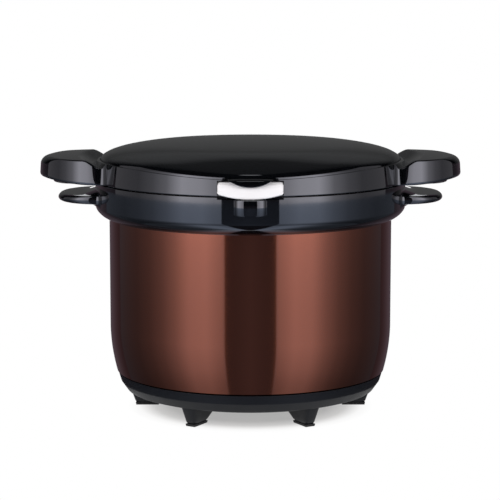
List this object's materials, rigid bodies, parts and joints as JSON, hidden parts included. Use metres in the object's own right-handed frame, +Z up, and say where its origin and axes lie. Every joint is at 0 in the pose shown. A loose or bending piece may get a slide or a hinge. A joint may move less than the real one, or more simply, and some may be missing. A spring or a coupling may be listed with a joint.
{
  "type": "thermal cooker",
  "caption": "Vacuum-insulated round cooker body on short feet, with side grips, a rear-hinged domed lid with wing handles and a front latch, and a lidded cooking pot inside.",
  "frame": {"origin": "on the floor, on the vessel's axis, midway between the feet", "axes": "+X to the right side grip, -Y to the front latch, +Z up"},
  "size_m": [0.372, 0.2903, 0.239],
  "materials": {
    "outer_jacket": "brown clear lacquer over drawn stainless steel",
    "stainless_steel": "drawn stainless steel",
    "copper_foil": "bright copper foil",
    "aluminium_disc": "pressed aluminium",
    "gloss_black": "polished black moulding",
    "matte_black": "fine matte black moulding",
    "white_lever": "satin white moulding",
    "grey_cover": "satin grey moulding",
    "rubber": "matte black rubber",
    "silicone": "grey silicone",
    "foam": "white rigid foam",
    "glass": "clear tempered glass"
  },
  "bodies": {
    "body": {"base_cover": "matte_black", "base_screw_1": "stainless_steel", "base_screw_2": "stainless_steel", "base_screw_3": "stainless_steel", "base_weld_nut_1": "stainless_steel", "base_weld_nut_2": "stainless_steel", "base_weld_nut_3": "stainless_steel", "collar": "gloss_black", "collar_seal": "silicone", "foot_pad_1": "rubber", "foot_pad_2": "rubber", "foot_pad_3": "rubber", "foot_pad_4": "rubber", "foot_pad_5": "rubber", "foot_pad_6": "rubber", "hinge_bracket": "gloss_black", "hinge_pin": "stainless_steel", "hinge_screw_left": "stainless_steel", "hinge_screw_right": "stainless_steel", "inner_liner": "stainless_steel", "inner_pot": "stainless_steel", "latch_keeper": "gloss_black", "outer_jacket": "outer_jacket", "pot_base_disc": "aluminium_disc", "pot_bracket_left": "stainless_steel", "pot_bracket_right": "stainless_steel", "pot_knob": "matte_black", "pot_knob_screw": "stainless_steel", "pot_knob_washer": "stainless_steel", "pot_lid_band": "stainless_steel", "pot_lid_glass": "glass", "pot_rivet_1": "stainless_steel", "pot_rivet_2": "stainless_steel", "pot_rivet_3": "stainless_steel", "pot_rivet_4": "stainless_steel", "radiation_foil": "copper_foil", "vacuum_seal_cap": "stainless_steel"},
    "lid": {"lid_frame": "gloss_black", "lid_top_cover": "gloss_black", "lid_foam": "foam", "lid_inner_cover": "grey_cover", "lid_gasket": "silicone", "lid_screw_1": "stainless_steel", "lid_screw_2": "stainless_steel", "lid_screw_3": "stainless_steel", "lid_screw_4": "stainless_steel", "wing_cover_left": "gloss_black", "wing_cover_right": "gloss_black", "latch_pin": "stainless_steel", "latch_spring": "stainless_steel"},
    "latch": {"latch_lever": "white_lever"},
    "pot_handle_left": {"pot_handle_left": "stainless_steel"},
    "pot_handle_right": {"pot_handle_right": "stainless_steel"}
  },
  "joints": [
    {"name": "lid_hinge", "type": "hinge", "parent": "body", "child": "lid", "pos_m": [0, 0.143, 0.204], "axis": [-1, 0, 0], "range_deg": [0, 95]},
    {"name": "latch_pivot", "type": "hinge", "parent": "lid", "child": "latch", "pos_m": [0, -0.1295, 0.2115], "axis": [-1, 0, 0], "range_deg": [0, 12], "stiffness_Nm_per_rad": 0.05, "springref_deg": -20.05},
    {"name": "pot_handle_left_swing", "type": "hinge", "parent": "body", "child": "pot_handle_left", "pos_m": [-0.1128, 0, 0.1847], "axis": [0, 1, 0], "range_deg": [0, 75]},
    {"name": "pot_handle_right_swing", "type": "hinge", "parent": "body", "child": "pot_handle_right", "pos_m": [0.1128, 0, 0.1847], "axis": [0, -1, 0], "range_deg": [0, 75]}
  ]
}
